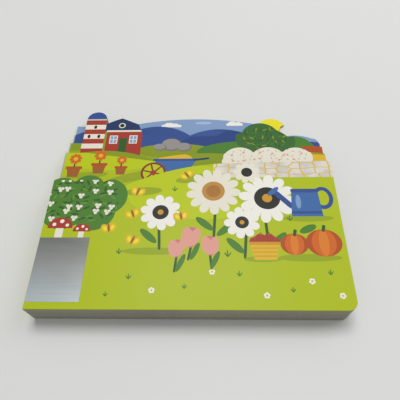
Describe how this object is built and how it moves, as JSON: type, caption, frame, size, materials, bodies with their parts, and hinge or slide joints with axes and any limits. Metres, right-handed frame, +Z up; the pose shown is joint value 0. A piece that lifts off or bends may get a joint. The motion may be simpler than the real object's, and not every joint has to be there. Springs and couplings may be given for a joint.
{
  "type": "board book",
  "caption": "Closed board book with layered skyline-cut boards, a bound spine, two hinged covers and a blank foil label.",
  "frame": {"origin": "middle of the book's box, on the surface that it lies on", "axes": "+X from the spine to the fore-edge, +Y from the tail to the head, +Z up out of the front cover"},
  "size_m": [0.2, 0.1722, 0.0203],
  "materials": {
    "cover": "printed and laminated board",
    "pages": "greyboard with printed faces",
    "spine_card": "printed and laminated card",
    "label_foil": "satin silver foil sticker"
  },
  "bodies": {
    "book_block": {"page_block": "pages", "spine": "spine_card"},
    "front_board": {"front_cover": "cover", "foil_label": "label_foil"},
    "back_board": {"back_cover": "cover"}
  },
  "joints": [
    {"name": "front_cover_hinge", "type": "hinge", "parent": "book_block", "child": "front_board", "pos_m": [-0.1001, 0, 0.01815], "axis": [0, -1, 0], "range_deg": [0, 180]},
    {"name": "back_cover_hinge", "type": "hinge", "parent": "book_block", "child": "back_board", "pos_m": [-0.1001, 0, 0.00205], "axis": [0, 1, 0], "range_deg": [0, 180]}
  ]
}
